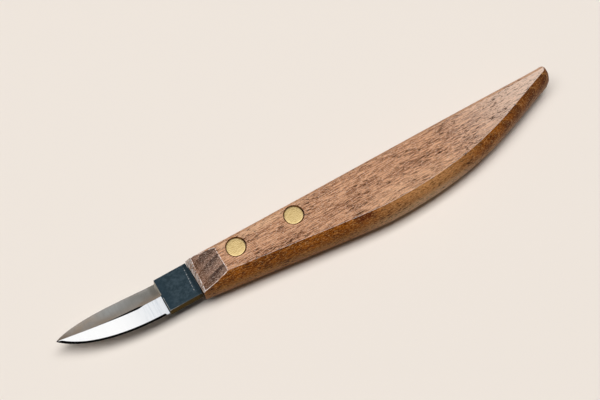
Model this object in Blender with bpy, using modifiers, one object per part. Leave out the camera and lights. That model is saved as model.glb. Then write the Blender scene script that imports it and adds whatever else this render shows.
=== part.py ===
"""Fixed-blade carving knife, lying on its side, made of separate solids.

Metres, +Z up. X runs along the knife from its point (-X) to its butt (+X), and +Y is the spine side.
The pieces are drawn about the axis of the front rivet, and one empty then centres the whole knife.
"""
import math

import bmesh
import bpy
import numpy as np
from mathutils import Vector
from mathutils.geometry import interpolate_bezier

# Handle: its flat faces are drawn by their sharp outer edge, the arris
HANDLE_LENGTH = 0.1400
HANDLE_THICKNESS = 0.0128
SIDE_SLOPE = math.radians(48)       # lean of the rounded side where it meets a flat face
FRONT_TO_RIVET = 0.0157
SPINE_FRONT = 0.0035                # spine arris above the rivet line, at the front end
SPINE_BUTT = 0.0030                 # the same at the butt
SPINE_REACH = 0.060
BELLY_FRONT = 0.0044                # belly arris below the rivet line, at the front end
BELLY_SWELL = 0.0125                # the same where the belly is deepest
SWELL_FROM_FRONT = 0.0687
NECK_SLOPE = 0.127                  # fall of the belly arris per length at the front end
NECK_REACH = 0.0567
SWELL_FRONT_REACH = 0.0082
SWELL_REAR_REACH = 0.0340
BUTT_SLOPE = 0.34                   # rise of the belly arris per length at the butt
BUTT_REACH = 0.0217
BUTT_RADIUS = 0.0004
FACET_LENGTH = 0.0099               # sloping facet that thins the front of the handle
FACET_DROP = 0.0035
FRONT_CHAMFER = 0.0010

# Rivets: two-piece cutlery rivets, a male pin pressed into a female tube
RIVET_SPACING = 0.0211
HEAD_DIAMETER = 0.0062
HEAD_THICKNESS = 0.0014
HEAD_RECESS = 0.0001                # heads sit this far below the flat faces
HEAD_CHAMFER = 0.00015
TUBE_DIAMETER = 0.0044
PIN_DIAMETER = 0.0028

# Blade: one steel piece with a ground blade, a square ricasso and a hidden tang
BLADE_AXIS = -0.0001                # middle of the ricasso and tang, from the rivet line
BLADE_LENGTH = 0.0349               # point to the front of the ricasso
STOCK_THICKNESS = 0.0030
RICASSO_LENGTH = 0.01115
RICASSO_WIDTH = 0.0119
TANG_WIDTH = 0.0085
TANG_THICKNESS = 0.0024
TANG_PAST_RIVET = 0.0080
PLUNGE_LENGTH = 0.0006              # run of the steep wall between the ground blade and the ricasso
POINT_HEIGHT = 0.00423              # point above the blade axis
POINT_RUN = 0.0015                  # length from the point in which the edge bevel grows to its width
EDGE_DEPTH = 0.0060                 # straight end of the cutting edge below the blade axis
EDGE_POINT_REACH = 0.0035
EDGE_POINT_SLOPE = -1.04
EDGE_HEEL_REACH = 0.0200
RIDGE_DEPTH = 0.0001                # ridge between the two grinds, below the blade axis at the heel
RIDGE_POINT_REACH = 0.0106
RIDGE_POINT_SLOPE = -0.238
RIDGE_HEEL_REACH = 0.0119
BACK_HEIGHT = 0.0051                # thin back of the blade above the blade axis at the heel
BACK_POINT_REACH = 0.0087
BACK_POINT_SLOPE = 0.41
BACK_HEEL_REACH = 0.0069
BACK_THICKNESS = 0.0012
HOLLOW_DEPTH = 0.00015              # sag of the upper grind
LAND_WIDTH = 0.00030                # unground strip left along the ridge
EDGE_BEVEL_WIDTH = 0.00055
EDGE_BEVEL_THICKNESS = 0.00056
HEEL_NOTCH = 0.0013                 # last length of edge that the edge bevel does not reach

# Clearances
FIT_GAP = 0.0003                    # between neighbouring pieces
OVERCUT = 0.0010                    # length of a cutter outside the face that it cuts

# Smoothness
BEZIER_STEPS = 24
SIDE_STEPS = 6
BUTT_STEPS = 10
BLADE_STEPS = 28
HOLLOW_STEPS = 4
TURNED_STEPS = 40
SHARP_ANGLE = math.radians(25)
MERGE = 0.000005
FINEST_BEVEL = 0.00002

# Places that several pieces share
FRONT_X = -FRONT_TO_RIVET
HALF_HANDLE = HANDLE_THICKNESS / 2
SIDE_RADIUS = HALF_HANDLE / math.sin(SIDE_SLOPE)
SIDE_BULGE = SIDE_RADIUS * (1 - math.cos(SIDE_SLOPE))
SHOULDER_X = FRONT_X - FIT_GAP
RICASSO_X = SHOULDER_X - RICASSO_LENGTH
POINT_X = RICASSO_X - BLADE_LENGTH
TANG_END_X = RIVET_SPACING + TANG_PAST_RIVET
RIVETS = {"front": 0.0, "rear": RIVET_SPACING}


def remove_everything():
    for item in list(bpy.data.objects):
        bpy.data.objects.remove(item)


def new_collection(name):
    collection = bpy.data.collections.new(name)
    bpy.context.scene.collection.children.link(collection)
    return collection


def new_object(name, mesh, collection):
    item = bpy.data.objects.new(name, mesh)
    collection.objects.link(item)
    return item


def material(name, colour, roughness, metallic):
    made = bpy.data.materials.new(name)
    made.use_nodes = True
    shader = made.node_tree.nodes["Principled BSDF"]
    shader.inputs["Base Color"].default_value = (*colour, 1)
    shader.inputs["Roughness"].default_value = roughness
    shader.inputs["Metallic"].default_value = metallic
    return made


def mesh_from(bm, name):
    bmesh.ops.recalc_face_normals(bm, faces=bm.faces)
    mesh = bpy.data.meshes.new(name)
    bm.to_mesh(mesh)
    bm.free()
    return mesh


def smooth(mesh):
    mesh.shade_smooth()
    mesh.set_sharp_from_angle(angle=SHARP_ANGLE)


def bezier(start, start_handle, end_handle, end):
    corners = [Vector((*point, 0)) for point in (start, start_handle, end_handle, end)]
    return [point.to_2d() for point in interpolate_bezier(*corners, BEZIER_STEPS + 1)]


def skin(bm, rings, closed):
    """Quads between neighbouring rings of points, all with the same count."""
    loops = [[bm.verts.new(point) for point in ring] for ring in rings]
    for near, far in zip(loops, loops[1:]):
        pairs = zip(range(len(near)), [*range(1, len(near)), 0])
        for i, j in pairs if closed else list(pairs)[:-1]:
            bm.faces.new((near[i], near[j], far[j], far[i]))
    return loops


def mirror_thickness(item):
    mirror = item.modifiers.new("both faces", "MIRROR")
    mirror.use_axis = (False, False, True)
    mirror.merge_threshold = MERGE


def cut(item, cutter):
    boolean = item.modifiers.new(cutter.name, "BOOLEAN")
    boolean.operation = "DIFFERENCE"
    boolean.solver = "EXACT"
    boolean.object = cutter


def turned(name, profile, collection):
    """Solid of revolution about Z from (radius, height) points that run down the outer side."""
    mesh = bpy.data.meshes.new(name)
    edges = [(i, i + 1) for i in range(len(profile) - 1)]
    mesh.from_pydata([(radius, 0, height) for radius, height in profile], edges, [])
    item = new_object(name, mesh, collection)
    screw = item.modifiers.new("turned", "SCREW")
    screw.steps = TURNED_STEPS
    screw.render_steps = TURNED_STEPS
    screw.use_merge_vertices = True
    screw.merge_threshold = MERGE
    return item


def handle_outline():
    """Arris of a flat face with its outward normals: belly, butt, then spine back to the front."""
    butt_x = FRONT_X + HANDLE_LENGTH - SIDE_BULGE - BUTT_RADIUS
    butt = Vector((butt_x, SPINE_BUTT - BUTT_RADIUS))
    belly_turn = math.atan(BUTT_SLOPE) - math.pi / 2
    turns = np.linspace(belly_turn, math.pi / 2, BUTT_STEPS + 1)
    arc = [butt + BUTT_RADIUS * Vector((math.cos(turn), math.sin(turn))) for turn in turns]

    front = Vector((FRONT_X, -BELLY_FRONT))
    swell = Vector((FRONT_X + SWELL_FROM_FRONT, -BELLY_SWELL))
    neck = bezier(front, front + NECK_REACH * Vector((1, -NECK_SLOPE)),
                  swell - SWELL_FRONT_REACH * Vector((1, 0)), swell)
    haunch = bezier(swell, swell + SWELL_REAR_REACH * Vector((1, 0)),
                    arc[0] - BUTT_REACH * Vector((1, BUTT_SLOPE)), arc[0])
    spine_front = Vector((FRONT_X, SPINE_FRONT))
    spine = bezier(arc[-1], arc[-1] - SPINE_REACH * Vector((1, 0)),
                   spine_front + SPINE_REACH * Vector((1, 0)), spine_front)
    points = [*neck[:-1], *haunch[:-1], *arc[:-1], *spine]

    normals = []
    for before, after in zip([points[0], *points], [*points[1:], points[-1]]):
        along = (after - before).normalized()
        normals.append(Vector((along.y, -along.x)))
    normals[0] = Vector((0, -1))
    normals[-1] = Vector((0, 1))
    return points, normals


def handle_half():
    """Upper half of the wood: a barrel side under the flat face, a sloping facet and a front chamfer."""
    points, normals = handle_outline()
    rings = []
    for turn in np.linspace(0, SIDE_SLOPE, SIDE_STEPS + 1):
        height = SIDE_RADIUS * math.sin(turn)
        outset = SIDE_RADIUS * (math.cos(turn) - math.cos(SIDE_SLOPE))
        ring = [(*(point + outset * normal), height) for point, normal in zip(points, normals)]
        rings.append(ring)
    bm = bmesh.new()
    loops = skin(bm, rings, closed=True)
    bm.faces.new(loops[-1])
    bm.normal_update()

    facet_line = Vector((FRONT_X + FACET_LENGTH, 0, HALF_HANDLE))
    facet_normal = Vector((-FACET_DROP, 0, FACET_LENGTH)).normalized()
    everything = [*bm.verts, *bm.edges, *bm.faces]
    sliced = bmesh.ops.bisect_plane(bm, geom=everything, plane_co=facet_line, plane_no=facet_normal,
                                    dist=MERGE, clear_outer=True)
    facet_edges = [part for part in sliced["geom_cut"] if isinstance(part, bmesh.types.BMEdge)]
    bmesh.ops.edgeloop_fill(bm, edges=facet_edges)

    end_faces = [face for face in bm.faces
                 if all(abs(vert.co.x - FRONT_X) < MERGE for vert in face.verts)]
    bmesh.ops.dissolve_faces(bm, faces=end_faces, use_verts=False)
    end_edges = [edge for edge in bm.edges
                 if all(abs(vert.co.x - FRONT_X) < MERGE for vert in edge.verts)
                 and len(edge.link_faces) == 2]
    bmesh.ops.bevel(bm, geom=end_edges, offset=FRONT_CHAMFER, offset_type="OFFSET", segments=1,
                    profile=0.5, affect="EDGES", material=-1, clamp_overlap=True)
    return mesh_from(bm, "handle")


def rivet_cutter(name, collection):
    """Hole for one rivet through the wood and the tang, with a counterbore for each head."""
    hole = TUBE_DIAMETER / 2 + FIT_GAP
    counterbore = HEAD_DIAMETER / 2 + FIT_GAP
    step = HALF_HANDLE - HEAD_RECESS - HEAD_THICKNESS - FIT_GAP
    outside = HALF_HANDLE + OVERCUT
    profile = [(0, outside), (counterbore, outside), (counterbore, step), (hole, step),
               (hole, -step), (counterbore, -step), (counterbore, -outside), (0, -outside)]
    return turned(name, profile, collection)


def mortise_cutter(collection):
    """Slot for the tang, open at the front of the wood."""
    start = FRONT_X - OVERCUT
    end = TANG_END_X + FIT_GAP
    bm = bmesh.new()
    bmesh.ops.create_cube(bm, size=1)
    size = (end - start, TANG_WIDTH + 2 * FIT_GAP, TANG_THICKNESS + 2 * FIT_GAP)
    bmesh.ops.scale(bm, vec=size, verts=bm.verts)
    bmesh.ops.translate(bm, vec=((start + end) / 2, BLADE_AXIS, 0), verts=bm.verts)
    return new_object("mortise_cutter", mesh_from(bm, "mortise_cutter"), collection)


def height_along(start, start_reach, start_slope, end, end_reach):
    """Function that gives a blade line's height at any length, from a curve that ends level."""
    start = Vector(start)
    end = Vector(end)
    curve = bezier(start, start + start_reach * Vector((1, start_slope)),
                   end - Vector((end_reach, 0)), end)
    lengths = [point.x for point in curve]
    heights = [point.y for point in curve]
    return lambda length: float(np.interp(length, lengths, heights))


def blade_sections():
    """Half sections from the point to the end of the tang, each from the edge up and over to the back."""
    point = (POINT_X, POINT_HEIGHT)
    heel_x = RICASSO_X - PLUNGE_LENGTH
    edge = height_along(point, EDGE_POINT_REACH, EDGE_POINT_SLOPE,
                        (heel_x, -EDGE_DEPTH), EDGE_HEEL_REACH)
    ridge = height_along(point, RIDGE_POINT_REACH, RIDGE_POINT_SLOPE,
                         (heel_x, -RIDGE_DEPTH), RIDGE_HEEL_REACH)
    back = height_along(point, BACK_POINT_REACH, BACK_POINT_SLOPE,
                        (heel_x, BACK_HEIGHT), BACK_HEEL_REACH)
    ground_length = heel_x - POINT_X
    notch_share = HEEL_NOTCH / ground_length
    bevel_run = EDGE_DEPTH - RIDGE_DEPTH - EDGE_BEVEL_WIDTH
    bevel_slope = (STOCK_THICKNESS - EDGE_BEVEL_THICKNESS) / 2 / bevel_run
    back_slope = (STOCK_THICKNESS - BACK_THICKNESS) / 2 / (BACK_HEIGHT + RIDGE_DEPTH)
    hollow = np.linspace(0, 1, HOLLOW_STEPS + 1)

    def ground(share):
        x = POINT_X + share * ground_length
        growth = min(1, share * ground_length / POINT_RUN)
        bevel = EDGE_BEVEL_WIDTH * growth
        edge_half = EDGE_BEVEL_THICKNESS / 2 * growth
        ridge_half = edge_half + bevel_slope * (ridge(x) - edge(x) - bevel)
        back_half = max(FINEST_BEVEL, ridge_half - back_slope * (back(x) - ridge(x)))
        fullness = min(1, 2 * ridge_half / STOCK_THICKNESS)
        land = LAND_WIDTH / 2 * fullness
        if share >= 1 - notch_share:
            bevel = edge_half = FINEST_BEVEL
        section = [(x, edge(x), 0), (x, edge(x) + bevel, edge_half), (x, ridge(x) - land, ridge_half)]
        for climb in hollow:
            y = (1 - climb) * (ridge(x) + land) + climb * back(x)
            sag = 4 * climb * (1 - climb) * HOLLOW_DEPTH * fullness
            section.append((x, y, (1 - climb) * ridge_half + climb * back_half - sag))
        section.append((x, back(x), 0))
        return section

    def block(x, width, thickness, like):
        low, high, half = -width / 2, width / 2, thickness / 2
        levels = np.interp([place[1] for place in like[2:-2]], [like[1][1], like[-2][1]], [low, high])
        across = [(x, y, half) for y in levels]
        return [(x, low, 0), (x, low, half), *across, (x, high, half), (x, high, 0)]

    shares = [*np.linspace(0, 1 - notch_share, BLADE_STEPS)[1:], 1 - notch_share / 2, 1]
    sections = [[(*point, 0)] * len(ground(1))]
    sections += [ground(share) for share in shares]
    like = sections[-1]
    sections.append(block(RICASSO_X, RICASSO_WIDTH, STOCK_THICKNESS, like))
    sections.append(block(SHOULDER_X, RICASSO_WIDTH, STOCK_THICKNESS, like))
    sections.append(block(SHOULDER_X, TANG_WIDTH, TANG_THICKNESS, like))
    sections.append(block(TANG_END_X, TANG_WIDTH, TANG_THICKNESS, like))
    return sections


def blade_half():
    """Upper half of the blade, ricasso and tang, open along the middle plane."""
    bm = bmesh.new()
    loops = skin(bm, blade_sections(), closed=False)
    bm.faces.new(loops[-1])
    bmesh.ops.remove_doubles(bm, verts=bm.verts, dist=FINEST_BEVEL / 4)
    return mesh_from(bm, "blade")


def rivet_female(name, collection):
    """Upper half of a rivet: a head with a tube below it."""
    top = HALF_HANDLE - HEAD_RECESS
    under_head = top - HEAD_THICKNESS
    tube_end = -under_head + FIT_GAP
    head, tube, bore = HEAD_DIAMETER / 2, TUBE_DIAMETER / 2, PIN_DIAMETER / 2 + FIT_GAP
    profile = [(0, top), (head - HEAD_CHAMFER, top), (head, top - HEAD_CHAMFER), (head, under_head),
               (tube, under_head), (tube, tube_end), (bore, tube_end), (bore, under_head), (0, under_head)]
    return turned(name, profile, collection)


def rivet_male(name, collection):
    """Lower half of a rivet: a head with a pin above it, which enters the tube."""
    bottom = -HALF_HANDLE + HEAD_RECESS
    over_head = bottom + HEAD_THICKNESS
    pin_end = -over_head - FIT_GAP
    head, pin = HEAD_DIAMETER / 2, PIN_DIAMETER / 2
    profile = [(0, pin_end), (pin, pin_end), (pin, over_head), (head, over_head),
               (head, bottom + HEAD_CHAMFER), (head - HEAD_CHAMFER, bottom), (0, bottom)]
    return turned(name, profile, collection)


def centre_on(frame, items):
    """Moves the parent empty so that the knife's box is centred on X and Y and stands on Z = 0."""
    bpy.context.view_layer.update()
    graph = bpy.context.evaluated_depsgraph_get()
    corners = []
    for item in items:
        solid = item.evaluated_get(graph)
        corners += [solid.matrix_world @ Vector(corner) for corner in solid.bound_box]
    low = Vector([min(corner[axis] for corner in corners) for axis in range(3)])
    high = Vector([max(corner[axis] for corner in corners) for axis in range(3)])
    frame.location -= Vector(((low.x + high.x) / 2, (low.y + high.y) / 2, low.z))


def build():
    remove_everything()
    knife = new_collection("carving_knife")
    cutters = new_collection("cutters")
    wood = material("oiled wood", (0.40, 0.21, 0.12), 0.55, 0.0)
    steel = material("ground steel", (0.62, 0.61, 0.60), 0.25, 1.0)
    brass = material("brass", (0.80, 0.66, 0.36), 0.35, 1.0)
    frame = new_object("knife_frame", None, knife)
    frame.location.z = HALF_HANDLE

    handle = new_object("handle", handle_half(), knife)
    blade = new_object("blade", blade_half(), knife)
    blade.location.y = BLADE_AXIS
    mirror_thickness(handle)
    mirror_thickness(blade)
    holes = []
    parts = [handle, blade]
    for place, x in RIVETS.items():
        hole = rivet_cutter(f"{place}_rivet_cutter", cutters)
        female = rivet_female(f"{place}_rivet_female", knife)
        male = rivet_male(f"{place}_rivet_male", knife)
        for piece in (hole, female, male):
            piece.location.x = x
        holes.append(hole)
        parts += [female, male]
    mortise = mortise_cutter(cutters)
    for cutter in (mortise, *holes):
        cut(handle, cutter)
        cutter.parent = frame
        cutter.hide_render = True
        cutter.display_type = "WIRE"
    for hole in holes:
        cut(blade, hole)

    for part in parts:
        part.parent = frame
        smooth(part.data)
        part.data.materials.append({"handle": wood, "blade": steel}.get(part.name, brass))
    centre_on(frame, parts)


build()
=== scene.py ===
"""Looks of a carving knife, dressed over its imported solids: a ground steel blade in a wooden handle."""
import math
from types import SimpleNamespace

import bmesh
import bpy
import numpy as np
from mathutils import Matrix, Vector
from mathutils.geometry import interpolate_bezier


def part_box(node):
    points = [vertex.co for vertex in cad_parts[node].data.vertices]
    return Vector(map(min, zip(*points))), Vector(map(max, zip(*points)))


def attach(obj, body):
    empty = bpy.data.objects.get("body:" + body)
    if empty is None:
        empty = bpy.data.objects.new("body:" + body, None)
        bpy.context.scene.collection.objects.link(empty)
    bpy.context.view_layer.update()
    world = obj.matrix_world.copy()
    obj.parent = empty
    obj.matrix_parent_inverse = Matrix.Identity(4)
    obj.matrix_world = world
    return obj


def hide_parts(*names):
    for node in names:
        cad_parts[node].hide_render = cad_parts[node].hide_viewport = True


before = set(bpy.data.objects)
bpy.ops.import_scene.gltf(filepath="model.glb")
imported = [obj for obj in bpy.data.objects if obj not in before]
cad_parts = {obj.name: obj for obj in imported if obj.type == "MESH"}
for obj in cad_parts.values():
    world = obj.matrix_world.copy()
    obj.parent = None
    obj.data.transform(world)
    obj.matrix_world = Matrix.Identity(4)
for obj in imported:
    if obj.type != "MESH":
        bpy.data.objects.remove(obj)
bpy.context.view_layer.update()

# Blade: one bar of tool steel, ground on both sides above and below a ridge, with a honed edge.
# Behind the grinds the bar keeps its black oxide skin as a square ricasso, and a narrower tang
# runs on into the handle. Drawn about the axis of the front rivet, half way up the handle.
mm = 0.001
rivet_low, rivet_high = (Vector(corner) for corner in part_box("front_rivet_female"))
handle_low, handle_high = (Vector(corner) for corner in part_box("handle"))
blade_low, blade_high = (Vector(corner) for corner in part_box("blade"))
middle = Vector(((rivet_low.x + rivet_high.x) / 2, (rivet_low.y + rivet_high.y) / 2,
                 (handle_low.z + handle_high.z) / 2))
front_x = handle_low.x - middle.x
point_x = blade_low.x - middle.x
tang_end_x = blade_high.x - middle.x
shoulder_gap = 0.15 * mm
ricasso_length = 11.30 * mm
plunge_length = 0.4 * mm
shoulder_x = front_x - shoulder_gap
ricasso_x = shoulder_x - ricasso_length
heel_x = ricasso_x - plunge_length
blade_axis = -0.1 * mm
stock_half = 1.5 * mm
ricasso_half_width = 5.95 * mm
tang_half_width = 4.25 * mm
tang_half = 1.2 * mm


def curve_points(start, start_handle, end_handle, end, steps):
    """Points of one Bezier curve in the plane."""
    corners = [Vector((*corner, 0)) for corner in (start, start_handle, end_handle, end)]
    return [spot.to_2d() for spot in interpolate_bezier(*corners, steps + 1)]


point = (point_x, 4.23 * mm)
line_steps = 160


def blade_line(point_reach, point_slope, heel_height, heel_reach):
    """Height of one line of the blade at any length, on a curve from the point to the heel."""
    start, end = Vector(point), Vector((heel_x, heel_height))
    curve = curve_points(start, start + point_reach * Vector((1, point_slope)),
                         end - Vector((heel_reach, 0)), end, line_steps)
    lengths_on_curve, heights = zip(*curve)
    return lambda x: float(np.interp(x, lengths_on_curve, heights))


edge_line = blade_line(3.5 * mm, -1.14, heel_height=-6.0 * mm, heel_reach=20.0 * mm)
ridge_line = blade_line(10.6 * mm, -0.238, heel_height=-0.1 * mm, heel_reach=11.9 * mm)
back_line = blade_line(8.7 * mm, 0.41, heel_height=5.1 * mm, heel_reach=6.9 * mm)
honed_width = 0.62 * mm
honed_half = 0.30 * mm
honed_extra_at_point = 0.24 * mm
honed_extra_fall = 0.03
honed_most = 0.78
honed_stop = 0.9 * mm
honed_fade = 0.5 * mm
honed_least = 0.04
bevel_width = 5.9 * mm
back_width = 5.2 * mm
back_half = 0.6 * mm
back_least = 0.02 * mm
hollow_depth = 0.15 * mm
land_centre_x = front_x - 19.6 * mm
land_half_width = 0.34 * mm
land_least = 0.01 * mm
land_front_spread = 8.5 * mm
land_rear_spread = 1.1 * mm
bevel_slope = (stock_half - honed_half) / (bevel_width - honed_width)
back_slope = (stock_half - back_half) / back_width
bevel_rows = 5
hollow_rows = 9
row_land = 1 + bevel_rows


def ridge_land(x, fullness):
    """Half width of the flat land on the ridge, which fades slowly forward and fast behind."""
    off_centre = x - land_centre_x
    spread = land_front_spread if off_centre < 0 else land_rear_spread
    return land_half_width * math.exp(-(off_centre / spread) ** 2) + land_least * fullness


def ground_section(x):
    """Half section across the grinds, from the edge over the ridge to the thin back."""
    edge, ridge, back = edge_line(x), ridge_line(x), back_line(x)
    probe = 0.1 * mm
    upright_width = honed_width * math.hypot(1, (edge_line(x + probe) - edge) / probe)
    extra = max(0, honed_extra_at_point - honed_extra_fall * (x - point_x))
    honed = min(upright_width + extra, honed_most * (ridge - edge))
    half = honed_half * honed / upright_width
    ridge_half = half + bevel_slope * (ridge - edge - honed)
    fullness = min(1, ridge_half / stock_half)
    thin_half = max(back_least, ridge_half - back_slope * (back - ridge))
    reach = min(1, max(honed_least, (heel_x - x - honed_stop) / honed_fade))
    land = Vector((ridge_land(x, fullness), 0))
    shoulder = Vector((edge + honed * reach, half * reach))
    brow = Vector((ridge, ridge_half))
    rows = [Vector((edge, 0))]
    rows += [shoulder.lerp(brow - land, step / bevel_rows) for step in range(bevel_rows + 1)]
    for step in range(hollow_rows + 1):
        climb = step / hollow_rows
        sag = 4 * climb * (1 - climb) * hollow_depth * fullness
        rows.append((brow + land).lerp(Vector((back, thin_half)), climb) - Vector((0, sag)))
    return [*rows, Vector((back, 0))]


heel_rows = ground_section(heel_x)


def bar_section(half_width, half):
    """Half section of the unground bar, with its rows spread as at the heel of the grinds."""
    heights = [row.x for row in heel_rows[1:-1]]
    spread = np.interp(heights, [heights[0], heights[-1]], [-half_width, half_width])
    return [Vector((-half_width, 0)), *(Vector((y, half)) for y in spread), Vector((half_width, 0))]


ground_shares = np.linspace(0.02, 0.95, 46)
crowding_at_point = 1.2
lengths = list(point_x + (heel_x - point_x) * ground_shares ** crowding_at_point)
lengths += [heel_x - before_heel * mm for before_heel in (1.4, 1.15, 0.9, 0.45)]
stations = [[(x, *row) for row in ground_section(x)] for x in lengths]
bar_rows = bar_section(ricasso_half_width, stock_half)
tang_rows = bar_section(tang_half_width, tang_half)
plunge_steps = 8
plunge_foot = 0.60 * mm
plunge_bow = 0.90 * mm
for step in range(plunge_steps + 1):
    run = step / plunge_steps
    wall = []
    for index, (low, high) in enumerate(zip(heel_rows, bar_rows)):
        if index > row_land:
            climb = min(1, (index - row_land - 1) / hollow_rows)
            foot_x = ricasso_x - plunge_foot - plunge_bow * math.sin(math.pi * climb)
            lift = run ** 2
        else:
            foot_x = heel_x
            lift = run
        wall.append((foot_x + run * (ricasso_x - foot_x), *low.lerp(high, lift)))
    stations.append(wall)
for x, rows in ((shoulder_x, bar_rows), (shoulder_x, tang_rows), (tang_end_x, tang_rows)):
    stations.append([(x, *row) for row in rows])
heel_station = len(lengths)
front_station = heel_station + plunge_steps

blade_bm = bmesh.new()
rise_layer = blade_bm.verts.layers.float.new("rise")
plunge_layer = blade_bm.verts.layers.float.new("plunge")
row_layer = blade_bm.verts.layers.int.new("row")
station_layer = blade_bm.verts.layers.int.new("station")
for number, rows in enumerate(stations):
    under = [(x, y, -z) for x, y, z in rows[-2:0:-1]]
    spots = [(x, y + blade_axis, z) for x, y, z in [*rows, *under]]
    if number == 0:
        ring = tip_ring = [blade_bm.verts.new(spot) for spot in spots]
        loop = [blade_bm.edges.new(pair) for pair in zip(ring, [*ring[1:], ring[0]])]
    else:
        drawn = bmesh.ops.extrude_edge_only(blade_bm, edges=loop)["geom"]
        fresh = {item for item in drawn if isinstance(item, bmesh.types.BMVert)}
        loop = [item for item in drawn
                if isinstance(item, bmesh.types.BMEdge) and fresh.issuperset(item.verts)]
        ring = [next(edge.other_vert(vert) for edge in vert.link_edges if edge.other_vert(vert) in fresh)
                for vert in ring]
    for index, (vert, spot) in enumerate(zip(ring, spots)):
        vert.co = spot
        vert[row_layer] = min(index, 2 * len(rows) - 2 - index)
        vert[station_layer] = number
        vert[plunge_layer] = min(1, max(0, (number - heel_station) / plunge_steps))
        vert[rise_layer] = min(1, max(0, (vert[row_layer] - row_land - 1) / hollow_rows))
bmesh.ops.contextual_create(blade_bm, geom=loop)
bmesh.ops.pointmerge(blade_bm, verts=tip_ring, merge_co=(point[0], point[1] + blade_axis, 0))
bmesh.ops.recalc_face_normals(blade_bm, faces=blade_bm.faces)

on_grind, on_skin, on_corner, on_bevel, on_edge = range(5)
for face in blade_bm.faces:
    row = min(vert[row_layer] for vert in face.verts)
    station = min(vert[station_layer] for vert in face.verts)
    if row > row_land and station < front_station:
        face.material_index = on_grind
    elif 0 < row < row_land and station < heel_station:
        face.material_index = on_bevel
    elif station < heel_station:
        face.material_index = on_edge
    else:
        face.material_index = on_skin


def softened(bm, edges, width, segments):
    """Rounds off edges, and gives the new faces."""
    return bmesh.ops.bevel(bm, geom=edges, offset=width, offset_type="OFFSET", segments=segments,
                           profile=0.5, affect="EDGES", material=-1, clamp_overlap=True)["faces"]


least_corner = math.radians(20)
steel_wear = 0.14 * mm
corners = []
for edge in blade_bm.edges:
    places = [vert[station_layer] for vert in edge.verts]
    on_bar = all(front_station <= place <= front_station + 1 for place in places)
    at_front = all(place == front_station for place in places)
    low_row = max(vert[row_layer] for vert in edge.verts) <= row_land
    if on_bar and edge.calc_face_angle(0) > least_corner and (low_row or not at_front):
        corners.append(edge)
for face in softened(blade_bm, corners, steel_wear, segments=2):
    face.material_index = on_corner


def node(tree, kind, sockets, **settings):
    """One shader node, with each socket set to a value or linked from another node's output."""
    made = tree.nodes.new(kind)
    for name, value in settings.items():
        setattr(made, name, value)
    for name, value in sockets.items():
        if isinstance(value, bpy.types.NodeSocket):
            tree.links.new(value, made.inputs[name])
        else:
            made.inputs[name].default_value = value
    return made


def vectors(tree, operation, first, second):
    """Sum, difference or product of two vectors."""
    return node(tree, "ShaderNodeVectorMath", {0: first, 1: second}, operation=operation).outputs[0]


def axes(tree, vector):
    """X, Y and Z of a vector."""
    return node(tree, "ShaderNodeSeparateXYZ", {0: vector}).outputs


def facing(tree):
    """X, Y and Z of the way that the surface faces."""
    return axes(tree, tree.nodes.new("ShaderNodeNewGeometry").outputs["Normal"])


def attribute(tree, name):
    """Value that the mesh carries at each of its points."""
    return node(tree, "ShaderNodeAttribute", {}, attribute_name=name).outputs["Fac"]


def maths(tree, operation, first, second=0.0):
    """One sum on one or two values."""
    return node(tree, "ShaderNodeMath", {0: first, 1: second}, operation=operation).outputs[0]


def times(tree, product, *factors):
    """Product of two or more values."""
    for factor in factors:
        product = maths(tree, "MULTIPLY", product, factor)
    return product


def apart(tree, value, centre):
    """How far a value is from a centre."""
    return maths(tree, "ABSOLUTE", maths(tree, "SUBTRACT", value, centre))


def ranged(tree, value, low, high, to_low=0.0, to_high=1.0):
    """Smooth step from to_low, where the value is low, to to_high."""
    return node(tree, "ShaderNodeMapRange", {"Value": value, "From Min": low, "From Max": high,
                                             "To Min": to_low, "To Max": to_high},
                interpolation_type="SMOOTHSTEP").outputs[0]


def streaks(tree, place, per_mm, detail=2.0, roughness=0.5, output="Fac"):
    """Noise with its own number of cells per millimetre along each axis."""
    noise = node(tree, "ShaderNodeTexNoise", {"Vector": vectors(tree, "MULTIPLY", place, per_mm),
                                              "Scale": 1.0, "Detail": detail, "Roughness": roughness})
    return noise.outputs[output]


def mixed(tree, factor, first, second, label=""):
    """Colour between two colours, each a tone or another node's output."""
    made = node(tree, "ShaderNodeMix", {"Factor": factor}, data_type="RGBA", label=label)
    for name, value in (("A", first), ("B", second)):
        socket = next(item for item in made.inputs if item.name == name and item.type == "RGBA")
        if isinstance(value, bpy.types.NodeSocket):
            tree.links.new(value, socket)
        else:
            socket.default_value = (*value, 1)
    return next(item for item in made.outputs if item.type == "RGBA")


def layered(tree, colour, **layers):
    """Colour with layers over it, in order; each has a name, how much it covers, and its tone."""
    for name, (cover, tone) in layers.items():
        colour = mixed(tree, cover, colour, tone, label=name.replace("_", " "))
    return colour


def painted(tree, shader, colour, roughness):
    tree.links.new(colour, shader.inputs["Base Color"])
    tree.links.new(roughness, shader.inputs["Roughness"])


def dented(tree, shader, height, strength, depth):
    bump = node(tree, "ShaderNodeBump", {"Height": height, "Strength": strength, "Distance": depth})
    tree.links.new(bump.outputs["Normal"], shader.inputs["Normal"])


def new_finish(name, **constants):
    """New material, its tree, its Principled shader, and a place in the frame in millimetres."""
    made = bpy.data.materials.new(name)
    made.use_nodes = True
    tree = made.node_tree
    shader = tree.nodes["Principled BSDF"]
    for socket, value in constants.items():
        shader.inputs[socket.replace("_", " ")].default_value = value
    place = tree.nodes.new("ShaderNodeTexCoord").outputs["Object"]
    return made, tree, shader, vectors(tree, "MULTIPLY", place, (1 / mm,) * 3)


def frame_mm(x):
    """Place along the knife as the materials measure it, in millimetres of the frame."""
    return (middle.x + x) / mm


point_mm, heel_mm = frame_mm(point_x), frame_mm(heel_x)
ricasso_mm, shoulder_mm = frame_mm(ricasso_x), frame_mm(shoulder_x)
axis_mm = middle.y / mm

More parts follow.
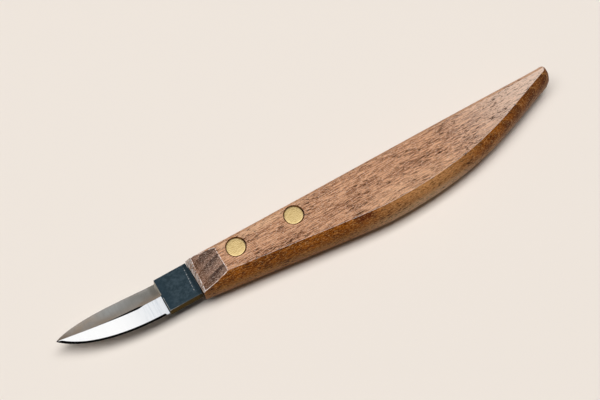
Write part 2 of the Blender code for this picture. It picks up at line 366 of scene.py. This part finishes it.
ground_steel, tree, shader, place = new_finish("ground steel", Metallic=1.0)
length = axes(tree, place)["X"]
rise = attribute(tree, "rise")
grind = streaks(tree, place, (3.0, 0.12, 0.12), detail=3.0, roughness=0.6)
scratch = streaks(tree, place, (14.0, 0.5, 0.5), roughness=0.6)
cloud = streaks(tree, place, (0.22, 0.45, 0.45))
to_heel = ranged(tree, length, point_mm + 4, heel_mm - 2)
# Painted highlight: a light line where the grind climbs the plunge, which is also rougher there.
plunge_top = ranged(tree, attribute(tree, "plunge"), 0.72, 0.92)
# Painted dark reflection on the hollow just before the plunge.
burn = times(tree, ranged(tree, length, ricasso_mm - 3.4, ricasso_mm - 1.9, 0.0, 0.55),
             ranged(tree, rise, 0.05, 0.35))
# The warm grey and the tones laid over it are painted reflection: bluish in the middle, darker at the heel
# and along the back, brown toward the ridge and darker at the point. The cloud and the grinding lines are
# the steel's own.
warm_grey = (0.63, 0.52, 0.43)
grey = layered(
    tree, warm_grey,
    cool_middle=(ranged(tree, to_heel, 0.0, 0.5), (0.58, 0.605, 0.62)),
    dull_heel=(ranged(tree, to_heel, 0.6, 1.0), (0.40, 0.40, 0.39)),
    brown_foot=(ranged(tree, rise, 0.60, 0.05, 0.0, 0.85), (0.46, 0.375, 0.305)),
    dull_back=(ranged(tree, rise, 0.80, 1.0, 0.0, 0.5), (0.50, 0.46, 0.42)),
    cloud=(ranged(tree, cloud, 0.40, 0.65, 0.0, 0.5), (0.52, 0.53, 0.535)),
    grinding_lines=(ranged(tree, grind, 0.42, 0.68, 0.0, 0.30), (0.37, 0.36, 0.35)),
    dark_point=(ranged(tree, length, point_mm + 6.0, point_mm + 1.5, 0.0, 0.7), (0.30, 0.25, 0.215)),
    burn_at_plunge=(burn, (0.22, 0.21, 0.18)),
    plunge_top=(plunge_top, (0.40, 0.385, 0.345)))
coarse = maths(tree, "ADD", ranged(tree, scratch, 0.3, 0.7, 0.17, 0.26), times(tree, plunge_top, 0.35))
painted(tree, shader, grey, coarse)
dented(tree, shader, scratch, strength=0.10, depth=0.004 * mm)

bright_bevel, tree, shader, place = new_finish("polished bevel", Metallic=1.0)
length = axes(tree, place)["X"]
grind = streaks(tree, place, (2.4, 0.10, 0.10), detail=3.0, roughness=0.6)
heel_lines = times(tree, ranged(tree, grind, 0.46, 0.66, 0.0, 0.6),
                   ranged(tree, length, heel_mm - 10, heel_mm - 3))
# The bevel is painted greyer toward the heel, a painted reflection; the heel lines are its grinding marks.
plain_grey = (0.58, 0.58, 0.58)
bright_grey = layered(
    tree, plain_grey,
    dull_heel=(ranged(tree, length, heel_mm - 17, heel_mm - 1), (0.465, 0.475, 0.49)),
    heel_lines=(heel_lines, (0.37, 0.395, 0.43)))
painted(tree, shader, bright_grey, ranged(tree, grind, 0.3, 0.7, 0.16, 0.22))

# Painted dark reflection: the honed edge is given a near-black colour for the dark room that its mirror
# finish would show.
dark_edge, tree, shader, place = new_finish("dark honed edge", Metallic=1.0)
hone = streaks(tree, place, (2.0, 2.0, 2.0), detail=3.0, roughness=0.6)
mirror_black, mirror_grey = (0.003, 0.003, 0.0035), (0.014, 0.0135, 0.013)
painted(tree, shader, mixed(tree, ranged(tree, hone, 0.48, 0.70), mirror_black, mirror_grey),
        ranged(tree, hone, 0.3, 0.7, 0.22, 0.34))

black_oxide, tree, shader, place = new_finish("black oxide", Metallic=1.0,
                                              Specular_Tint=(0.60, 0.54, 0.44, 1))
spot = axes(tree, place)
length, breadth = spot["X"], spot["Y"]
mottle = streaks(tree, place, (0.9, 1.1, 1.1), detail=4.0, roughness=0.65)
speck = streaks(tree, place, (4.0, 4.0, 4.0), roughness=0.6)
dashes = streaks(tree, place, (0.0, 1.9, 0.0), detail=1.0)
# A light dashed line across the ricasso, a little before the handle.
slant = times(tree, maths(tree, "SUBTRACT", breadth, axis_mm), 0.07)
scribed_at = maths(tree, "ADD", slant, shoulder_mm - 1.55)
scribed_line = times(tree, ranged(tree, apart(tree, length, scribed_at), 0.08, 0.20, 0.85, 0.0),
                     ranged(tree, dashes, 0.48, 0.57),
                     ranged(tree, apart(tree, breadth, axis_mm + 0.2), 4.0, 4.6, 1.0, 0.0))
blue_black = (0.023, 0.040, 0.052)
blue = layered(
    tree, blue_black,
    mottle=(ranged(tree, mottle, 0.36, 0.68), (0.051, 0.079, 0.100)),
    specks=(ranged(tree, speck, 0.50, 0.75, 0.0, 0.45), (0.073, 0.098, 0.118)),
    dark_front=(ranged(tree, length, ricasso_mm + 3.5, ricasso_mm + 0.2, 0.0, 0.65), (0.022, 0.041, 0.058)),
    # Painted reflection: the ricasso's side toward the belly takes the brown of the table that it mirrors.
    brown_belly=(ranged(tree, facing(tree)["Y"], -0.4, -0.9), (0.060, 0.043, 0.023)),
    # Painted shade, with a darker oxide, on the strip just before the handle.
    dark_rear=(ranged(tree, length, shoulder_mm - 1.4, shoulder_mm - 0.9, 0.0, 0.6), (0.010, 0.017, 0.022)),
    scribed_line=(scribed_line, (0.40, 0.42, 0.43)))
painted(tree, shader, blue, ranged(tree, mottle, 0.3, 0.7, 0.36, 0.50))
dented(tree, shader, speck, strength=0.12, depth=0.01 * mm)

rubbed_steel, tree, shader, place = new_finish("rubbed steel edge", Metallic=0.35)
length = axes(tree, place)["X"]
patchy = streaks(tree, place, (0.7, 0.7, 0.7), detail=3.0, roughness=0.6)
# Bare steel in patches where the oxide is rubbed off, paler toward the front corner as a painted highlight.
rubbed = times(tree, ranged(tree, patchy, 0.36, 0.56, 0.35, 1.0),
               ranged(tree, length, ricasso_mm + 0.8, ricasso_mm + 6.0, 1.0, 0.12))
skin_grey, bare_grey = (0.04, 0.055, 0.065), (0.52, 0.53, 0.53)
painted(tree, shader, mixed(tree, rubbed, skin_grey, bare_grey), ranged(tree, rubbed, 0.0, 1.0, 0.45, 0.32))


def new_piece(name, bm, *materials):
    """Object at the origin from a mesh drawn about the front rivet."""
    bmesh.ops.translate(bm, vec=middle, verts=bm.verts)
    mesh = bpy.data.meshes.new(name)
    bm.to_mesh(mesh)
    bm.free()
    for material in materials:
        mesh.materials.append(material)
    piece = bpy.data.objects.new(name, mesh)
    bpy.context.scene.collection.objects.link(piece)
    return piece


blade = new_piece("knife_blade", blade_bm, ground_steel, black_oxide, rubbed_steel, bright_bevel, dark_edge)
blade.data.shade_smooth()
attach(blade, "root")
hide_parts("blade")

# Handle: one piece of oiled hardwood, flat on two faces and rounded on its spine and belly.
# A sloping facet thins each face at the front, the front end is chamfered, and the corners are worn.
# It is drawn from its widest outline, half way up, and drawn in step by step to the flat face.
touch = 1e-6
handle_half = (handle_high.z - handle_low.z) / 2
side_slope = math.radians(48)
side_radius = handle_half / math.sin(side_slope)
side_bulge = side_radius * (1 - math.cos(side_slope))
side_steps = 8
butt_x = handle_high.x - middle.x - side_bulge
butt_radius = 0.5 * mm
butt_top = 3.0 * mm
butt_slope = 0.34
butt_reach = 21.7 * mm
butt_steps = 6
wood_x = front_x + 0.12 * mm
neck_start = Vector((front_x, -4.4 * mm))
neck_slope = -0.127
neck_reach = 56.7 * mm
swell = Vector((front_x + 68.7 * mm, -12.5 * mm))
swell_front_reach = 8.2 * mm
swell_rear_reach = 34.0 * mm
spine_start = Vector((front_x, 3.5 * mm))
spine_reach = 60 * mm
spine_butt_rise = 0.66 * mm
spine_front_fall = 0.43 * mm
curve_steps = 40
spare = 6.0 * mm

butt_centre = Vector((butt_x - butt_radius, butt_top - butt_radius))
turns = np.linspace(math.atan(butt_slope) - math.pi / 2, math.pi / 2, butt_steps + 1)
butt_arc = [butt_centre + butt_radius * Vector((math.cos(turn), math.sin(turn))) for turn in turns]
neck = curve_points(neck_start, neck_start + neck_reach * Vector((1, neck_slope)),
                    swell - Vector((swell_front_reach, 0)), swell, curve_steps)
haunch = curve_points(swell, swell + Vector((swell_rear_reach, 0)),
                      butt_arc[0] - butt_reach * Vector((1, butt_slope)), butt_arc[0], curve_steps)
spine = curve_points(butt_arc[-1], butt_arc[-1] + Vector((-spine_reach, spine_butt_rise)),
                     spine_start + Vector((spine_reach, -spine_front_fall)), spine_start, curve_steps)
arris = [neck_start - spare * Vector((1, neck_slope)), *neck[1:-1], *haunch[:-1], *butt_arc[:-1],
         *spine[:-1], spine_start - Vector((spare, 0))]
butt_corner_length = 1.0 * mm
butt_corner_fullness = 0.5
outline = []
for index, corner in enumerate(arris):
    before, after = arris[max(index - 1, 0)], arris[min(index + 1, len(arris) - 1)]
    along = (after - before).normalized()
    at_butt = corner.x > butt_x - butt_corner_length
    fuller = butt_corner_fullness * max(0, -along.x * along.y) if at_butt else 0
    outline.append(corner + side_bulge * (1 + fuller) * Vector((along.y, -along.x)))

handle_bm = bmesh.new()
flat = handle_bm.faces.new([handle_bm.verts.new((*corner, 0)) for corner in outline])
angles = np.linspace(0, side_slope, side_steps + 1)
for near, far in zip(angles, angles[1:]):
    bmesh.ops.inset_region(handle_bm, faces=[flat], use_even_offset=True, use_boundary=True,
                           thickness=side_radius * (math.cos(near) - math.cos(far)))
    lift = side_radius * (math.sin(far) - math.sin(near))
    bmesh.ops.translate(handle_bm, vec=(0, 0, lift), verts=flat.verts)
butt_lean = Vector((0.30, 0.10, 0)) * mm
butt_lean_length = 8 * mm
for vert in handle_bm.verts:
    toward_butt = max(0, 1 - (butt_x - vert.co.x) / butt_lean_length)
    vert.co += toward_butt ** 2 * (vert.co.z / handle_half) ** 2 * butt_lean

on_worn, on_facet, on_chamfer = range(1, 4)


def whole(bm):
    return [*bm.verts, *bm.edges, *bm.faces]


def sliced(bm, through, normal, finish_index):
    """Cuts away what lies on the side that the normal points to, and closes the cut."""
    cut = bmesh.ops.bisect_plane(bm, geom=whole(bm), plane_co=through, plane_no=normal, dist=touch,
                                 clear_outer=True)
    rim = [item for item in cut["geom_cut"] if isinstance(item, bmesh.types.BMEdge)]
    for face in bmesh.ops.contextual_create(bm, geom=rim)["faces"]:
        face.material_index = finish_index


facet_length = 9.9 * mm
facet_drop = 3.5 * mm
facet_top = Vector((front_x + facet_length, 0, handle_half))
facet_slope = Vector((facet_length, 0, facet_drop))
sliced(handle_bm, facet_top, (-facet_drop, 0, facet_length), on_facet)
chamfer_spine_share, chamfer_spine_y = 7.9 / 9.9, 6.0 * mm
chamfer_belly_share, chamfer_belly_y = 9.1 / 9.9, -6.5 * mm
chamfer_drop = 0.9 * mm
chamfer_spine = facet_top - facet_slope * chamfer_spine_share + Vector((0, chamfer_spine_y, 0))
chamfer_belly = facet_top - facet_slope * chamfer_belly_share + Vector((0, chamfer_belly_y, 0))
chamfer_front = facet_top - facet_slope - Vector((0, 0, chamfer_drop))
chamfer_normal = (chamfer_spine - chamfer_belly).cross(chamfer_front - chamfer_belly).normalized()
if chamfer_normal.z < 0:
    chamfer_normal.negate()
sliced(handle_bm, chamfer_belly, chamfer_normal, on_chamfer)
bmesh.ops.bisect_plane(handle_bm, geom=whole(handle_bm), plane_co=(wood_x, 0, 0), plane_no=(-1, 0, 0),
                       dist=touch, clear_outer=True)
bmesh.ops.mirror(handle_bm, geom=whole(handle_bm), axis="Z", merge_dist=touch)
bmesh.ops.remove_doubles(handle_bm, verts=handle_bm.verts, dist=2 * touch)
open_rim = [edge for edge in handle_bm.edges if len(edge.link_faces) == 1]
bmesh.ops.contextual_create(handle_bm, geom=open_rim)
bmesh.ops.recalc_face_normals(handle_bm, faces=handle_bm.faces)


def at_face(edge):
    """Whether an edge lies in one of the two flat faces."""
    return all(abs(vert.co.z) > handle_half - touch for vert in edge.verts)


end_rim_half = 2.6 * mm
end_rim_width = 0.8 * mm
end_rim = [edge for edge in handle_bm.edges
           if all(abs(vert.co.x - wood_x) < touch and abs(vert.co.z) < end_rim_half for vert in edge.verts)]
softened(handle_bm, end_rim, end_rim_width, segments=1)
bmesh.ops.remove_doubles(handle_bm, verts=handle_bm.verts, dist=0.08 * mm)
spine_above = 1.0 * mm
spine_shortest = 1.5 * mm
spine_rounding = 0.85 * mm
spine_arris = [edge for edge in handle_bm.edges
               if at_face(edge) and min(vert.co.y for vert in edge.verts) > spine_above
               and abs(edge.verts[0].co.x - edge.verts[1].co.x) > spine_shortest]
softened(handle_bm, spine_arris, spine_rounding, segments=3)
bmesh.ops.remove_doubles(handle_bm, verts=handle_bm.verts, dist=0.16 * mm)
least_arris = math.radians(16)
wear_before_butt = 4.0 * mm
wood_wear = 0.30 * mm
sharp = [edge for edge in handle_bm.edges
         if len(edge.link_faces) == 2 and edge.calc_face_angle() > least_arris
         and (max(vert.co.x for vert in edge.verts) < butt_x - wear_before_butt or at_face(edge))]
for face in softened(handle_bm, sharp, wood_wear, segments=3):
    face.material_index = on_worn
facets = [face for face in handle_bm.faces if face.material_index == on_facet]
facet_rim = bmesh.ops.inset_individual(handle_bm, faces=facets, thickness=0.14 * mm, use_even_offset=True)
for face in facet_rim["faces"]:
    face.material_index = on_worn
front_end = [face for face in handle_bm.faces if face.normal.x < -0.9]
bmesh.ops.triangulate(handle_bm, faces=front_end)

wood_mm = frame_mm(wood_x)


def stretch(tree, value, start, full, fading, gone):
    """1 on one stretch of a value, with a smooth start and end, and 0 elsewhere."""
    return times(tree, ranged(tree, value, start, full), ranged(tree, value, fading, gone, 1.0, 0.0))


def wood_figure(tree, place, rings):
    """Noise of pored hardwood: fibres and pores along X, rings across Y, and blotches over them."""
    drift = vectors(tree, "SUBTRACT", streaks(tree, place, (0.022, 0.07, 0.07), output="Color"), (0.5,) * 3)
    drift = vectors(tree, "MULTIPLY", drift, (0, 6.0, 5.0))
    wavy = vectors(tree, "ADD", place, drift)
    straight = vectors(tree, "ADD", place, vectors(tree, "MULTIPLY", drift, (0.07,) * 3))
    across_rings = node(tree, "ShaderNodeVectorMath", {0: wavy, 1: rings}, operation="DOT_PRODUCT")
    return SimpleNamespace(
        ring=maths(tree, "FRACT", across_rings.outputs["Value"]),
        blotch=streaks(tree, wavy, (0.07, 0.22, 0.22), detail=3.0, roughness=0.6),
        mottle=streaks(tree, wavy, (1.5, 2.8, 2.8), detail=3.0, roughness=0.7),
        fibre=streaks(tree, straight, (0.30, 3.7, 3.7), roughness=0.6),
        pore=streaks(tree, straight, (0.56, 3.1, 3.1), detail=1.0),
        fleck=streaks(tree, straight, (1.6, 5.0, 5.0), roughness=0.6))


def wood_lie(tree, place):
    """Where a spot of the wood is, in millimetres of the frame, and which way it faces."""
    length, breadth, height = axes(tree, place)
    along, across, up = facing(tree)
    return SimpleNamespace(
        length=length, breadth=breadth, height=height, along=along, across=across,
        flat=ranged(tree, maths(tree, "ABSOLUTE", up), 0.80, 0.96),
        low=ranged(tree, up, 0.45, 0.0),
        spine=ranged(tree, across, 0.25, 0.60),
        end=ranged(tree, maths(tree, "ABSOLUTE", along), 0.08, 0.33))


def wood_shade(tree, figure, lie):
    """How dark the fibres, the blotches and the late wood of the rings make the wood, from 0 to 1."""
    fibres = times(tree, ranged(tree, figure.fibre, 0.42, 0.61, 0.0, 0.88),
                   ranged(tree, lie.end, 0.0, 1.0, 1.0, 0.45))
    blotches = ranged(tree, figure.blotch, 0.42, 0.66, 0.0, 0.26)
    late_wood = times(tree, stretch(tree, figure.ring, 0.10, 0.85, 0.92, 1.0),
                      maths(tree, "MAXIMUM", times(tree, lie.end, 0.75), 0.10))
    return node(tree, "ShaderNodeMath", {0: maths(tree, "ADD", fibres, blotches), 1: late_wood},
                operation="ADD", use_clamp=True).outputs[0]


def face_colour(tree, figure, lie, shade, tones, butt_tone):
    """Colour of the flat faces, paler toward the butt, partly paler wood and partly painted sheen, and along
    part of the belly and the spine.
    """
    fair_tone = (0.84, 0.52, 0.32)
    fair_belly = times(tree, stretch(tree, lie.length, 5.0, 20.0, 40.0, 55.0), 0.22,
                       ranged(tree, lie.breadth, axis_mm - 5.0, axis_mm - 10.0))
    fair_spine = times(tree, stretch(tree, lie.length, wood_mm + 9.5, wood_mm + 11.5, -20.0, 5.0), 0.55,
                       ranged(tree, lie.breadth, axis_mm + 0.5, axis_mm + 2.5))
    return layered(
        tree, mixed(tree, shade, *tones),
        # Light specks painted as glints of the finish.
        light_flecks=(ranged(tree, figure.fleck, 0.46, 0.32, 0.0, 0.55), (0.92, 0.72, 0.58)),
        pale_butt=(ranged(tree, lie.length, 38.0, 90.0, 0.0, 0.72), butt_tone),
        fair_belly=(fair_belly, fair_tone),
        fair_spine=(fair_spine, fair_tone))


def side_colour(tree, figure, lie, shade, tones, face):
    """Colour of the rounded sides: a paler amber below, a painted reflection of the floor, fair on the rear
    belly, and near the face's colour on the spine, painted light.
    """
    fair_rear = times(tree, stretch(tree, lie.length, 0.0, 30.0, 36.0, 60.0), 0.84)
    # Painted light: the side toward the spine is paler than the belly side.
    spine_tone = mixed(tree, 0.65, face, (0.60, 0.275, 0.115))
    belly = maths(tree, "SUBTRACT", 1.0, lie.spine)
    ring_lines = times(tree, ranged(tree, figure.ring, 0.02, 0.14, 0.55, 0.0), lie.end,
                       ranged(tree, figure.blotch, 0.40, 0.60, 0.25, 1.0))
    dark_mottle = times(tree, ranged(tree, figure.mottle, 0.52, 0.64, 0.0, 0.62), belly)
    light_mottle = times(tree, ranged(tree, figure.mottle, 0.47, 0.36, 0.0, 0.45), belly)
    stain = times(tree, ranged(tree, apart(tree, lie.length, 9.0), 4.5, 1.5),
                  ranged(tree, lie.height, 10.4, 11.8),
                  ranged(tree, figure.mottle, 0.34, 0.54, 0.45, 0.90), belly)
    return layered(
        tree, mixed(tree, shade, *tones),
        amber_below=(times(tree, lie.low, 0.70), (0.62, 0.280, 0.064)),
        fair_rear=(fair_rear, (0.62, 0.295, 0.110)),
        pale_rear_below=(times(tree, lie.low, fair_rear), (0.98, 0.65, 0.37)),
        dark_butt=(ranged(tree, lie.length, 62.0, 76.0, 0.0, 0.48), tones[1]),
        spine=(lie.spine, spine_tone),
        ring_lines=(ring_lines, (0.60, 0.34, 0.13)),
        dark_mottle=(dark_mottle, tones[1]),
        light_mottle=(light_mottle, (0.82, 0.47, 0.185)),
        stain=(stain, (0.085, 0.010, 0.002)))


def worn_pale(tree, place, lie, rub):
    """How pale a worn corner is painted, as rubbed wear and a painted highlight: patches, more behind the
    facet, none on the spine.
    """
    patchy = streaks(tree, place, (1.0, 1.4, 1.4), detail=3.0, roughness=0.6)
    patches = ranged(tree, patchy, 0.42, 0.58, 0.06, rub)
    behind_facet = ranged(tree, lie.length, wood_mm + 12.0, wood_mm + 24.0, 0.0, 0.5 * rub)
    return times(tree, maths(tree, "MAXIMUM", patches, behind_facet), ranged(tree, lie.across, 0.45, 0.15))


def wood(name, face_tones, side_tones, butt_tone, rub, roughness, rings=(0, 0.46, -0.27)):
    """Oiled hardwood; tones are (light, dark), rub is how pale its worn corners are painted, as wear and
    highlight, and rings are per millimetre.
    """
    made, tree, shader, place = new_finish(name, Specular_IOR_Level=0.07)
    figure = wood_figure(tree, place, rings)
    lie = wood_lie(tree, place)
    shade = wood_shade(tree, figure, lie)
    face = face_colour(tree, figure, lie, shade, face_tones, butt_tone)
    side = side_colour(tree, figure, lie, shade, side_tones, face)
    holes = ranged(tree, figure.pore, 0.58, 0.63)
    specks = ranged(tree, figure.fleck, 0.58, 0.70)
    pores = times(tree, maths(tree, "MAXIMUM", times(tree, holes, 0.92), times(tree, specks, 0.65)),
                  ranged(tree, figure.blotch, 0.36, 0.62, 0.35, 1.0))
    colour = layered(
        tree, mixed(tree, lie.flat, side, face),
        dark_front=(ranged(tree, lie.length, wood_mm + 5.0, wood_mm + 2.0, 0.0, 0.28), (0.27, 0.115, 0.050)),
        pores=(pores, (0.050, 0.021, 0.011)),
        # Painted shade on the end face at the front, which faces the ricasso.
        front_end=(ranged(tree, lie.along, -0.80, -0.97, 0.0, 0.8), (0.055, 0.024, 0.012)))
    if rub:
        colour = layered(tree, colour, worn_pale=(worn_pale(tree, place, lie, rub), (0.90, 0.84, 0.80)))
    painted(tree, shader, colour, ranged(tree, figure.pore, 0.50, 0.66, roughness, roughness + 0.25))
    relief = maths(tree, "SUBTRACT", times(tree, figure.fibre, 0.3), holes)
    dented(tree, shader, relief, strength=0.30, depth=0.05 * mm)
    return made


# The flat faces take paler tones than the rounded sides, a painted sheen on the faces that turn up to the
# light.
bright = ((0.69, 0.375, 0.215), (0.235, 0.099, 0.048))
amber = ((0.44, 0.132, 0.012), (0.112, 0.027, 0.003))
frosted = ((0.34, 0.205, 0.148), (0.058, 0.034, 0.028))
pale_butt, frosted_butt = (0.80, 0.63, 0.52), (0.40, 0.275, 0.22)
wide_rings = (0, 0.26, -0.20)
oiled_wood = wood("oiled wood", bright, amber, pale_butt, rub=0.0, roughness=0.36)
worn_wood = wood("worn wood corner", bright, amber, pale_butt, rub=0.9, roughness=0.40)
sanded_wood = wood("sanded wood facet", frosted, frosted, frosted_butt, rub=0.0, roughness=0.50,
                   rings=wide_rings)
rubbed_wood = wood("rubbed wood end", frosted, frosted, frosted_butt, rub=0.48, roughness=0.50)
handle = new_piece("wooden_handle", handle_bm, oiled_wood, worn_wood, sanded_wood, rubbed_wood)


def turned(profile, x, y, steps):
    """Mesh turned about an upright axis at x and y, from a profile of (radius, height) in millimetres."""
    bm = bmesh.new()
    verts = [bm.verts.new((x + radius * mm, y, height * mm)) for radius, height in profile]
    edges = [bm.edges.new(pair) for pair in zip(verts, verts[1:])]
    bmesh.ops.spin(bm, geom=[*verts, *edges], cent=(x, y, 0), axis=(0, 0, 1), angle=2 * math.pi,
                   steps=steps, use_merge=True)
    bmesh.ops.remove_doubles(bm, verts=bm.verts, dist=touch)
    bmesh.ops.recalc_face_normals(bm, faces=bm.faces)
    return bm


drill_radius, counterbore_radius = 2.5, 3.46
counterbore_seat, past_face = 4.6, 8.0
off_centre_x, off_centre_y = 0.10 * mm, 0.03 * mm
hole_steps = 96


def rivet_hole(name, x):
    """Drill with a counterbore at each end, a little off the rivet's centre, for cutting wood and tang."""
    upper = [(0, past_face), (counterbore_radius, past_face), (counterbore_radius, counterbore_seat),
             (drill_radius, counterbore_seat)]
    lower = [(radius, -height) for radius, height in reversed(upper)]
    return new_piece(name, turned([*upper, *lower], x + off_centre_x, off_centre_y, hole_steps))


tang_clearance = 0.3 * mm
mortise_overcut = 2 * mm


def mortise():
    """Block that cuts the room for the tang, through the front end of the handle."""
    bm = bmesh.new()
    bmesh.ops.create_cube(bm, size=1)
    size = (tang_end_x - front_x + mortise_overcut, 2 * (tang_half_width + tang_clearance),
            2 * (tang_half + tang_clearance))
    bmesh.ops.scale(bm, vec=size, verts=bm.verts)
    bmesh.ops.translate(bm, vec=(tang_end_x + tang_clearance - size[0] / 2, blade_axis, 0), verts=bm.verts)
    return new_piece("mortise", bm)


def cut_out(piece, cutters):
    """Cuts the pieces in cutters out of a piece, and keeps only the result."""
    for cutter in cutters:
        boolean = piece.modifiers.new(cutter.name, "BOOLEAN")
        boolean.operation = "DIFFERENCE"
        boolean.solver = "EXACT"
        boolean.object = cutter
    result = bpy.data.meshes.new_from_object(piece.evaluated_get(bpy.context.evaluated_depsgraph_get()))
    piece.modifiers.clear()
    piece.data = result


rivet_spacing = 21.1 * mm
holes = [rivet_hole("front_hole", 0.0), rivet_hole("rear_hole", rivet_spacing)]
tang_room = mortise()
cut_out(handle, [tang_room, *holes])
cut_out(blade, holes)
for cutter in (tang_room, *holes):
    bpy.data.objects.remove(cutter)
handle.data.shade_smooth()
handle.data.set_sharp_from_angle(angle=math.radians(35))
blade.data.set_sharp_from_angle(angle=math.radians(9))
even = handle.modifiers.new("even shading", "WEIGHTED_NORMAL")
even.keep_sharp = True
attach(handle, "root")
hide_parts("handle")

# Rivets: two-piece brass cutlery rivets, a pin pressed into a tube, with flush heads on both faces.
# The heads were sanded with the wood, which leaves fine lines along the handle and a soft rim.
brass, tree, shader, place = new_finish("brushed brass", Metallic=1.0)
brush = streaks(tree, place, (0.7, 5.0, 0.7), detail=3.0, roughness=0.65)
haze = streaks(tree, place, (0.8, 0.8, 0.8))
dark_gold = (0.53, 0.38, 0.160)
gold = layered(
    tree, dark_gold,
    brushed_lines=(ranged(tree, brush, 0.36, 0.62), (0.84, 0.65, 0.325)),
    haze=(ranged(tree, haze, 0.4, 0.7, 0.0, 0.4), (0.70, 0.54, 0.268)))
painted(tree, shader, gold, ranged(tree, brush, 0.3, 0.7, 0.24, 0.34))
dented(tree, shader, brush, strength=0.2, depth=0.01 * mm)
rivet_steps = 72


def rivet_half(name, node_name, x, side, profile):
    """One turned half of a rivet; side is 1 with its head up and -1 with its head down."""
    upright = [(radius, side * height) for radius, height in profile]
    piece = new_piece(name, turned(upright, x, 0, rivet_steps), brass)
    piece.data.shade_smooth()
    piece.data.set_sharp_from_angle(angle=math.radians(35))
    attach(piece, "root")
    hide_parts(node_name)


head_radius, head_seat = 3.10, 4.90
tube_radius, tube_bore, pin_radius = 2.20, 1.70, 1.40
shank_end = -4.60
soft_rim = [(2.7, 6.295), (2.92, 6.28), (3.04, 6.23), (head_radius, 6.12)]
head = [(0, 6.30), (1.5, 6.30), *soft_rim, (head_radius, head_seat)]
tube = [(tube_radius, head_seat), (tube_radius, shank_end), (tube_bore, shank_end), (tube_bore, head_seat),
        (0, head_seat)]
pin = [(pin_radius, head_seat), (pin_radius, shank_end), (0, shank_end)]
for place_name, x in (("front", 0.0), ("rear", rivet_spacing)):
    rivet_half(f"{place_name}_rivet_tube", f"{place_name}_rivet_female", x, 1, [*head, *tube])
    rivet_half(f"{place_name}_rivet_pin", f"{place_name}_rivet_male", x, -1, [*head, *pin])

# Stage: a plain pale floor under one large soft box, which the metal doesn't mirror.
# The camera and the metal see a plain pale backdrop with a mild panel overhead instead,
# and for them the floor is paler than the light that it throws back, most of all far away.


def seen(tree):
    """1 for what the camera and the metal see, and 0 for light that the floor or the room throws back."""
    ray = tree.nodes.new("ShaderNodeLightPath")
    mirrored = maths(tree, "MAXIMUM", ray.outputs["Is Glossy Ray"], ray.outputs["Is Transmission Ray"])
    return maths(tree, "MAXIMUM", ray.outputs["Is Camera Ray"], mirrored)


floor_bm = bmesh.new()
bmesh.ops.create_grid(floor_bm, x_segments=1, y_segments=1, size=3.0)
floor_paint, tree, shader, place = new_finish("pale floor", Roughness=0.7, Specular_IOR_Level=0.2,
                                              Emission_Color=(0.86, 0.79, 0.72, 1))
shown = seen(tree)
dull_floor, pale_floor = (0.40, 0.36, 0.32), (0.87, 0.80, 0.73)
tree.links.new(mixed(tree, shown, dull_floor, pale_floor), shader.inputs["Base Color"])
distance = node(tree, "ShaderNodeVectorMath", {0: place}, operation="LENGTH").outputs["Value"]
far_pale = times(tree, ranged(tree, distance, 250.0, 3200.0, 0.0, 0.75), shown)
tree.links.new(far_pale, shader.inputs["Emission Strength"])
floor_mesh = bpy.data.meshes.new("floor")
floor_bm.to_mesh(floor_mesh)
floor_bm.free()
floor_mesh.materials.append(floor_paint)
floor = bpy.data.objects.new("floor", floor_mesh)
bpy.context.scene.collection.objects.link(floor)

box_length, box_width, box_radiance = 3.90, 1.20, 5.26
lamp = bpy.data.lights.new("overhead", "AREA")
lamp.shape = "RECTANGLE"
lamp.size = box_length
lamp.size_y = box_width
lamp.energy = box_radiance * math.pi * box_length * box_width
soft_box = bpy.data.objects.new("overhead", lamp)
soft_box.location = (-0.09, 0.12, 2.40)
soft_box.visible_glossy = False
bpy.context.scene.collection.objects.link(soft_box)

world = bpy.data.worlds.new("room")
bpy.context.scene.world = world
world.use_nodes = True
tree = world.node_tree
room = tree.nodes["Background"]
toward = axes(tree, tree.nodes.new("ShaderNodeTexCoord").outputs["Generated"])
height = toward["Z"]
across_panel = apart(tree, maths(tree, "DIVIDE", toward["Y"], height), 0.05)
panel = times(tree, ranged(tree, across_panel, 0.27, 0.23), ranged(tree, height, 0.72, 0.82))
pale_wall, dim_room = (0.78, 0.72, 0.66), (0.045, 0.042, 0.039)
backdrop = layered(
    tree, pale_wall,
    upper_wall=(ranged(tree, height, 0.20, 0.65), (0.46, 0.44, 0.41)),
    ceiling=(ranged(tree, height, 0.82, 0.90), (1.12, 1.08, 1.03)),
    panel=(panel, (1.75, 1.75, 1.75)))
tree.links.new(mixed(tree, seen(tree), dim_room, backdrop), room.inputs["Color"])
room.inputs["Strength"].default_value = 1.0

camera_data = bpy.data.cameras.new("camera")
camera_data.sensor_width = 36.0
camera_data.lens = 57.32
camera_data.clip_start = 0.01
camera = bpy.data.objects.new("camera", camera_data)
right, up, back = (0.8586, -0.5106, -0.0444), (0.4718, 0.7535, 0.4579), (-0.2004, -0.4141, 0.8879)
turn = Matrix((right, up, back)).transposed().to_4x4()
stand = Matrix.Translation((middle.x - 0.03583, middle.y - 0.12344, 0.28502))
camera.matrix_world = stand @ turn
bpy.context.scene.collection.objects.link(camera)
bpy.context.scene.camera = camera
bpy.context.scene.view_settings.view_transform = "Standard"
